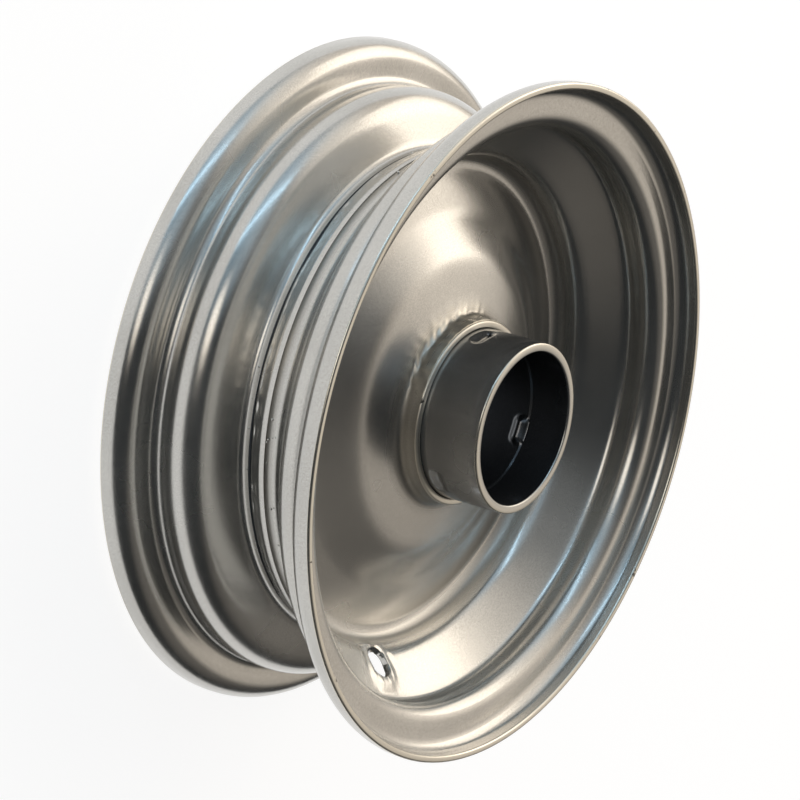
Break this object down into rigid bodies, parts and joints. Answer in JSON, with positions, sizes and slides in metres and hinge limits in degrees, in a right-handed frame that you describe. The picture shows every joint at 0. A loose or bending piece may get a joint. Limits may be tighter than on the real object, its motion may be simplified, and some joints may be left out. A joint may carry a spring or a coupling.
{
  "type": "steel wheel rim",
  "caption": "Pressed steel drop-centre wheel rim, welded from two halves, with a domed disc, a valve hole and a tube hub that takes press-fit ball bearings.",
  "frame": {"origin": "centre of the hub tube's rear end, which the rim stands on", "axes": "+Z along the wheel's axis towards the front face, +Y towards the top of the picture's wheel"},
  "size_m": [0.23, 0.23, 0.089],
  "materials": {
    "rim_paint": "silver wheel paint, satin gloss",
    "tube_paint": "silver wheel paint, satin gloss",
    "weld_paint": "silver wheel paint over a weld bead"
  },
  "bodies": {
    "root": {"front_half": "rim_paint", "rear_half": "rim_paint", "hub_tube": "tube_paint", "seam_weld": "weld_paint", "hub_weld": "weld_paint"}
  },
  "joints": []
}
